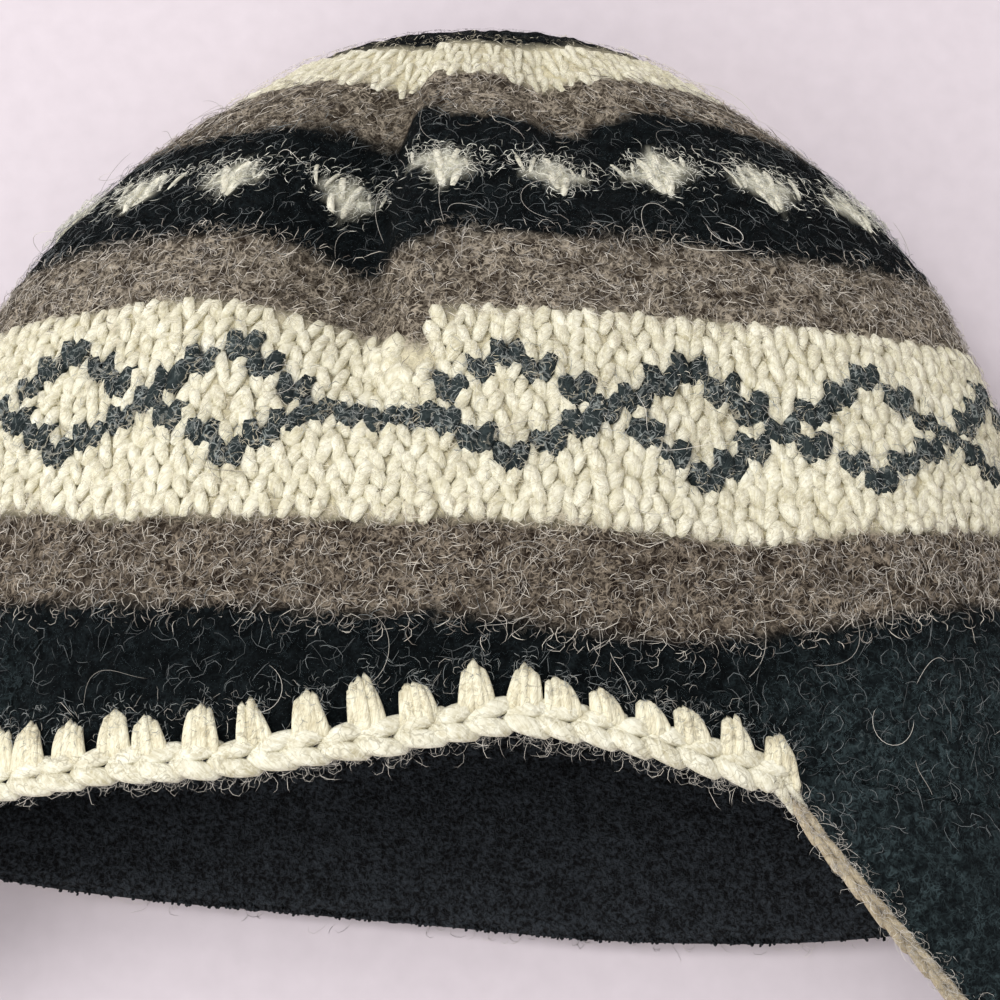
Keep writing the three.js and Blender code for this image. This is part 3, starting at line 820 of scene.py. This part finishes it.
# The fleece has pilled along its nape edge, where the pile shows against the floor.
PILL_TRIES, PILL_SPAN = 1300, 0.26
PILL_REACH, PILL_WIDTH = (0.45, 1.0), (0.3, 0.55)
nape_rng = np.random.default_rng(17)
nape_a = np.mod(nape_rng.uniform(-PILL_SPAN, PILL_SPAN, PILL_TRIES), 1)
nape_a = nape_a[nape_rng.random(PILL_TRIES) < nape_share(nape_a)]
nape_row = edge_at(nape_a) + (NAPE_REACH + nape_rng.normal(-0.7, 0.35, len(nape_a))) / ROW_HEIGHT
nape_sides, nape_down, nape_out = surface_axes(nape_a, nape_row)
turned = nape_rng.uniform(-0.7, 0.7, (len(nape_a), 1))
raised = nape_rng.uniform(-0.5, 0.3, (len(nape_a), 1))
heading = unit(nape_down + nape_sides * turned + nape_out * raised)
base = hat_point(nape_a, nape_row, -(outside + FLEECE_WALL * nape_rng.random(len(nape_a))))
reach = nape_rng.uniform(*PILL_REACH, (len(nape_a), 1, 1)) * MM
reach = reach * np.array([-0.8, -0.35, 0.55, 0.8])[:, None]
pills = tubes(
    "lining_pills",
    base[:, None] + heading[:, None] * reach,
    np.broadcast_to(nape_out[:, None], (len(nape_a), 4, 3)),
    nape_rng.uniform(*PILL_WIDTH, (len(nape_a), 1)) * MM,
    3,
    nape_rng.random(len(nape_a)),
)
dress(pills, lining.data.materials[0])

# The crocheted edging
# A braid of thick cream yarn worked round the whole edge, with long stitches that reach up into
# the black stripe like teeth. On the flaps it is thinner and has gone tan.

EDGE_STEPS = 4000
BRAID_PITCH = 7.2
# In mm: how far the chain lies beyond the edge, its legs off its middle, and their radius. Then
# the shares by which it is thinner on the flaps and at the nape.
BRAID_MIDDLE, BRAID_SPREAD, BRAID_RADIUS = 3.0, 2.9, 2.0
FLAP_THINNING, NAPE_THINNING = 0.5, 0.2


def edge_point(around, away, lift):
    """A point away mm beyond the edge, measured along the surface square to it, in metres."""
    step = 0.0015
    middle = hat_point(around, edge_at(around), lift)
    ahead = hat_point(around + step, edge_at(around + step), lift)
    behind = hat_point(around - step, edge_at(around - step), lift)
    tangent = unit(ahead - behind)
    normal = surface_axes(around, edge_at(around))[2]
    outward = unit(np.cross(normal, tangent))
    point = middle + outward * np.asarray(away)[..., None] * MM
    return point, tangent, normal


steps = np.linspace(0, 1, EDGE_STEPS + 1)
edge_line = hat_point(steps, edge_at(steps), -KNIT_WALL / 2)
edge_run = np.concatenate([[0], np.cumsum(np.linalg.norm(np.diff(edge_line, axis=0), axis=1))]) / MM
EDGE_LENGTH = edge_run[-1]
on_flap_share = np.clip((edge_at(steps) - hem_at(steps)) / 1.5, 0, 1)


def around_at(run):
    return np.interp(np.mod(run, EDGE_LENGTH), edge_run, steps)


def braid_leg(start, side):
    """One leg of every chain stitch: from the chain's middle it swells out to one side and dives
    under the next stitch."""
    t = np.linspace(0, 1, 9)
    run = start[:, None] + (0.25 - 1.6 * t) * BRAID_PITCH
    around = around_at(run)
    thin = 1 - FLAP_THINNING * np.interp(around, steps, on_flap_share) - NAPE_THINNING * nape_share(around)
    away = (BRAID_MIDDLE + side * BRAID_SPREAD * t**0.75) * thin
    lift = -2.6 + (0.4 + 2.7 * np.sin(math.pi * np.clip(0.1 + 0.86 * t, 0, 1)) ** 0.8) * thin
    point, _, normal = edge_point(around, away, lift)
    widths = BRAID_RADIUS * MM * (0.4 + 0.6 * np.sin(math.pi * np.clip(0.12 + 0.8 * t, 0, 1))) * thin
    return point, normal, widths


braid_rng = np.random.default_rng(3)
braid_count = int(EDGE_LENGTH / BRAID_PITCH)
starts = np.arange(braid_count) * EDGE_LENGTH / braid_count + braid_rng.normal(size=braid_count) * 0.35
both = [braid_leg(starts, -1.0), braid_leg(starts + 0.12 * BRAID_PITCH, 1.0)]
paths, normals, widths = (np.concatenate([one[k] for one in both]) for k in range(3))
trim_wool = wool("edging wool", (235, 233, 216), (180, 172, 144), (132, 124, 104), 0.6, 0.1)
tan_wool = wool("tan wool", (196, 184, 158), (146, 132, 108), (96, 86, 70), 0.6, 0.05)
over_ears = np.tile(np.interp(around_at(starts), steps, on_flap_share) > 0.3, 2)
shades = braid_rng.random(len(paths))
for name, chosen, finish in (("braid", ~over_ears, trim_wool), ("braid_flaps", over_ears, tan_wool)):
    braid = tubes(name, paths[chosen], normals[chosen], widths[chosen], 8, shades[chosen], 0.85)
    dress(braid, finish)
    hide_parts("edging")

# The long stitches over the forehead: place in mm from its middle, to the right positive, and
# reach upwards. Elsewhere they are evenly spaced.
FRONT_TEETH = (
    (-108, 6), (-101, 7), (-95, 9), (-88, 9), (-79, 8), (-69, 9), (-61, 7),
    (-51, 9), (-40, 9), (-29, 9), (-18, 11), (-8, 8), (3, 10), (12, 8),
    (20, 6), (29, 5), (38, 5), (46, 6), (55, 7), (64, 6),
)
# In mm: the strands of a tooth from its middle, their radius, how clear of the flaps the evenly
# spaced teeth stay, and their distance.
TOOTH_STRANDS = np.linspace(-3.0, 3.0, 7)
TOOTH_RADIUS, TOOTH_CLEARANCE, TOOTH_PITCH = 0.95, 5.0, 9.5


def tooth_strand(around, reach, lean, offset):
    """One strand of every tooth, offset mm to the side: it rises and closes up with the others
    towards a blunt tip that leans along the edge."""
    t = np.linspace(0, 1, 8)
    wild = braid_rng.normal(size=(3, len(around), 1))
    up = -2.6 + t * (reach[:, None] * (1.03 - 0.06 * abs(offset) + 0.04 * wild[0]) + 2.6)
    spread = offset * (1 - 0.55 * t**1.6) + 0.3 * wild[1] * t
    a = around[:, None] + (spread + lean[:, None] * t**1.4) / GIRTH
    row = edge_at(a) - up / ROW_HEIGHT
    lift = 0.3 - 0.12 * abs(offset) + 1.1 * np.sin(math.pi * (0.12 + 0.8 * t)) - 1.1 * t**4 + 0.2 * wild[2]
    widths = TOOTH_RADIUS * MM * (1 - 0.15 * t**3) * np.ones((len(around), 1))
    return hat_point(a, row, lift), surface_axes(a, row)[2], widths


front = np.array(FRONT_TEETH, float)
front_arounds = 0.5 - front[:, 0] / GIRTH
rest = np.arange(0, EDGE_LENGTH, TOOTH_PITCH)
rest_arounds = around_at(rest)
far = (rest_arounds > front_arounds.max() + 0.014) | (rest_arounds < front_arounds.min() - 0.014)
for centre in FLAP_CENTRES.values():
    far &= np.abs(rest_arounds - centre) > FLAP_HALF + TOOTH_CLEARANCE / GIRTH
rest_arounds = rest_arounds[far]
tooth_arounds = np.concatenate([front_arounds, rest_arounds])
tooth_reach = np.concatenate([front[:, 1], braid_rng.uniform(5, 8, len(rest_arounds))])
lean = braid_rng.normal(1.6, 1.0, len(tooth_arounds))
strands = [tooth_strand(tooth_arounds, tooth_reach, lean, offset) for offset in TOOTH_STRANDS]
points, normals, widths = (np.concatenate([one[k] for one in strands]) for k in range(3))
teeth = tubes("edging_teeth", points, normals, widths, 7, braid_rng.random(len(points)), 0.85)
teeth_wool = wool("teeth wool", (240, 236, 212), (190, 180, 150), (120, 114, 98), 0.6, 0.12)
dress(teeth, teeth_wool)

# The loose hair
# Washing has raised a haze of curly fibres: thick on the brown stripes, sparse and grey on the
# black ones, fine on the cream, and a few long hairs that stand off the whole hat. The finest
# fibres are a thin fleece whose gaps are clear, the others are tubes.


def haze_finish():
    finish = Finish("fibre haze", 0.9, 0.0, (0.9, 0.9, 0.88, 1))
    place = finish.coords()
    lines = finish.tangle(place, 360, 0.034, 1)
    finish.colour(finish.coords("fibre", "Color"))
    alpha = (lines * 0.8).clamp()
    finish.tree.links.new(alpha.socket, finish.shader.inputs["Alpha"])
    return finish.material


# Over the cream the haze's fibres are darker than the yarn: painted shadow of the loose hair.
haze = make_piece(
    "haze",
    *shell(haze_skin, haze_inner),
    attributes={"fibre": np.concatenate([haze_fibre.reshape(-1, 3), under[: haze_inner.size // 3]])},
)
dress(haze, haze_finish())


def curly_hairs(name, around, row, rng, length, curl, lift, thickness, points=5, start=-0.4):
    """Hairs that set off along the surface in random directions and turn steadily by a random
    curl, in radians per mm, while they rise and come back down."""
    count = len(around)
    base = hat_point(around, row, start)
    sideways, down, normal = surface_axes(around, row)
    t = np.linspace(0, 1, points)
    size = length[0] + (length[1] - length[0]) * rng.random(count) ** 1.5
    turn = rng.uniform(0, 2 * math.pi, count)[:, None]
    bend = rng.uniform(*curl, count)[:, None] * rng.choice([-1, 1], count)[:, None]
    heading = turn + bend * size[:, None] * t + 0.35 * np.sin(rng.uniform(3, 7, count)[:, None] * t)
    step = size[:, None] / (points - 1) * MM
    x = np.cumsum(np.cos(heading) * step, axis=1)
    y = np.cumsum(np.sin(heading) * step, axis=1)
    peak = (lift[0] + (lift[1] - lift[0]) * rng.random(count)[:, None] ** 2) * MM
    drop = rng.uniform(0.3, 1.2, count)[:, None]
    height = peak * np.sin(math.pi * np.clip(t * drop, 0, 1)) + 0.1 * MM
    paths = base[:, None] + sideways[:, None] * x[..., None] + down[:, None] * y[..., None]
    paths = paths + normal[:, None] * height[..., None]
    widths = thickness * MM * np.sin(math.pi * (0.12 + 0.8 * t)) ** 0.5 * rng.uniform(0.7, 1.3, (count, 1))
    return tubes(name, paths, np.broadcast_to(normal[:, None], paths.shape), widths, 3, rng.random(count))


def hair_finish(name, light, dark):
    """Hairs between two screen colours. Times one turns the vector attribute into a number."""
    finish = Finish(name, 0.8, 0.3, (1, 1, 1, 1))
    shade = finish.coords("shade") * 1.0
    finish.colour(finish.mix(shade, linear(*dark), linear(*light)))
    return finish.material


def scatter(rng, count, first, last):
    """Random places on the hat between two rows, even by area, clear of the part lain on."""
    around, row = rng.random(count * 3), rng.uniform(first, last, count * 3)
    width = profile_at(row)[:, 1] / (RIM_WIDTH / 2)
    kept = (rng.random(count * 3) < width) & (row < edge_at(around) - 0.3)
    kept &= smooth_point(around, row)[:, 2] > 1.5
    around, row = around[kept][:count], row[kept][:count]
    return around, row + slack(around, row)


brown_hair = hair_finish("brown hair", (222, 214, 200), (76, 63, 52))
silver_hair = hair_finish("silver hair", (170, 174, 170), (56, 62, 64))
grey_hair = hair_finish("grey hair", (124, 130, 130), (32, 38, 40))
cross_hair = hair_finish("cross hair", (250, 248, 234), (150, 150, 138))
cream_hair = hair_finish("cream hair", (244, 238, 220), (200, 190, 160))
long_hair = hair_finish("long hair", (222, 216, 204), (130, 125, 118))
# Each lot: name, first and last row, how many, finish, then length, curl and lift from and to,
# half its thickness, points and the lift it starts at.
BROWN = (brown_hair, (2.5, 6), (0.2, 0.6), (0.2, 1.3), 0.07, 4, -0.4)
GREY = (grey_hair, (3, 8), (0.1, 0.6), (0.2, 1.4), 0.045, 5, -0.4)
HAIR = (
    ("hair_far_brown", 7.8, 13.4, 1600, *BROWN),
    ("hair_middle_brown", 20.6, 26.4, 4400, *BROWN),
    ("hair_near_brown", 37.6, 45.0, 6200, brown_hair, (2.5, 6), (0.2, 0.7), (0.2, 1.5), 0.065, 5, -0.4),
    ("hair_far_black", 12.5, 21.2, 1900, *GREY),
    ("hair_near_black", 44.0, 56.0, 1600, *GREY),
    ("hair_cream", 26.0, 38.5, 6800, cream_hair, (1.2, 3.6), (0.3, 0.9), (0.1, 1.0), 0.05, 4, 0.7),
    ("hair_far_cream", 5.0, 9.0, 900, cream_hair, (1.2, 4.0), (0.3, 0.9), (0.1, 1.0), 0.05, 4, 0.6),
)
hair_rng = np.random.default_rng(23)
for name, first, last, count, finish, *shape, points, start in HAIR:
    around, row = scatter(hair_rng, count, first, last)
    hairs = curly_hairs(name, around, row, hair_rng, *shape, points, start)
    dress(hairs, finish)

# Hair on the motifs: name, stripe, hairs a stitch, finish and the lift it starts at.
for name, stripe, share, finish, rise in (
    ("hair_crosses", "crosses", 64, cross_hair, 0.5),
    ("hair_diamonds", "diamonds", 22, silver_hair, 1.0),
):
    column, row, around, count = stitches_of(stripe)
    chosen = motif_at(stripe, column, row)
    around = np.repeat(around[chosen], share)
    row = np.repeat(row[chosen], share) + hair_rng.normal(0.6, 0.45, len(around))
    around = around + hair_rng.normal(0, 0.5, len(around)) / count
    row = row + slack(around, row)
    hairs = curly_hairs(name, around, row, hair_rng, (1.5, 4.5), (0.3, 0.9), (0.1, 1.1), 0.065, 4, rise)
    dress(hairs, finish)

around, row = scatter(hair_rng, 170, 8, 54)
strays = curly_hairs("hair_long", around, row, hair_rng, (10, 24), (0.04, 0.22), (1, 4), 0.055, points=16)
dress(strays, long_hair)

EDGE_HAIR_TRIES, FRINGE_SHARE = 8600, 0.85
edge_arounds = around_at(hair_rng.uniform(0, EDGE_LENGTH, EDGE_HAIR_TRIES))
edge_arounds = edge_arounds[hair_rng.random(len(edge_arounds)) > 0.9 * nape_share(edge_arounds)]
fringe = hair_rng.random(len(edge_arounds)) < FRINGE_SHARE
below, above = hair_rng.uniform(1.1, 1.9, len(fringe)), hair_rng.uniform(-2.2, 0.4, len(fringe))
edge_rows = edge_at(edge_arounds) + np.where(fringe, below, above)
edge_hairs = curly_hairs(
    "hair_edging", edge_arounds, edge_rows, hair_rng, (1.5, 6.5), (0.3, 1.1), (-0.5, 2.0), 0.042, 5
)
dress(edge_hairs, long_hair)

HAIRS_A_TOOTH = 40
teeth_around = np.repeat(tooth_arounds, HAIRS_A_TOOTH)
teeth_around = teeth_around + hair_rng.normal(-0.2, 1.5, len(teeth_around)) / GIRTH
teeth_up = np.repeat(tooth_reach, HAIRS_A_TOOTH) * hair_rng.uniform(0.3, 1.15, len(teeth_around))
teeth_rows = edge_at(teeth_around) - teeth_up / ROW_HEIGHT
teeth_hairs = curly_hairs(
    "hair_teeth", teeth_around, teeth_rows, hair_rng, (1.2, 3.6), (0.3, 0.9), (0.1, 1.2), 0.045, 4, 1.5
)
dress(teeth_hairs, silver_hair)

# Floor, light and camera
# A plain pale floor under two soft lights from the left, a high one and a weaker one in front.
# The camera looks down at 76 degrees from close by, as the photo was taken.

FLOOR_SHADE, FLOOR_LIGHT = linear(196, 187, 192), linear(236, 226, 232)
corner = 1.6  # half the floor's side in metres
floor = make_piece(
    "floor",
    np.array([(-corner, -corner, 0), (corner, -corner, 0), (corner, corner, 0), (-corner, corner, 0)]),
    np.array([[0, 1, 2, 3]]),
)
paper = Finish("paper", 0.9, 0.0, (1, 1, 1, 1))
grain = paper.noise(paper.coords(), 180, 2)
paper.colour(paper.mix(grain * 0.25, FLOOR_SHADE, FLOOR_LIGHT))
floor.data.materials.append(paper.material)


def soft_light(name, place, size, energy):
    """A square area light that faces the middle of the hat."""
    lamp = bpy.data.lights.new(name, "AREA")
    lamp.shape, lamp.size, lamp.energy = "SQUARE", size, energy
    made = bpy.data.objects.new(name, lamp)
    made.location = place
    made.rotation_euler = (Vector((0, 0, 0.04)) - Vector(place)).to_track_quat("-Z", "Y").to_euler()
    bpy.context.scene.collection.objects.link(made)


soft_light("window", (-0.65, 0.3, 1.6), 0.8, 19)
soft_light("fill", (-1.1, -0.9, 0.9), 1.2, 11)
world = bpy.data.worlds.new("studio")
world.use_nodes = True
sky = world.node_tree.nodes["Background"].inputs
sky["Color"].default_value, sky["Strength"].default_value = (1, 0.975, 0.985, 1), 0.8
bpy.context.scene.world = world
bpy.context.scene.view_settings.view_transform = "Standard"

CAMERA_TARGET = np.array([3.2, -128.6, 60.0]) * MM + PLACE
CAMERA_DISTANCE, CAMERA_TILT = 0.455, math.radians(76)
MM_PER_PIXEL = 0.215
camera_data = bpy.data.cameras.new("camera")
camera_data.sensor_width = 36
camera_data.lens = 36 * CAMERA_DISTANCE / (MM_PER_PIXEL * MM * 1000)
camera = bpy.data.objects.new("camera", camera_data)
back = np.array([0, -math.cos(CAMERA_TILT), math.sin(CAMERA_TILT)])
camera.location = CAMERA_TARGET + CAMERA_DISTANCE * back
camera.rotation_euler = (math.pi / 2 - CAMERA_TILT, 0, 0)
bpy.context.scene.collection.objects.link(camera)
bpy.context.scene.camera = camera
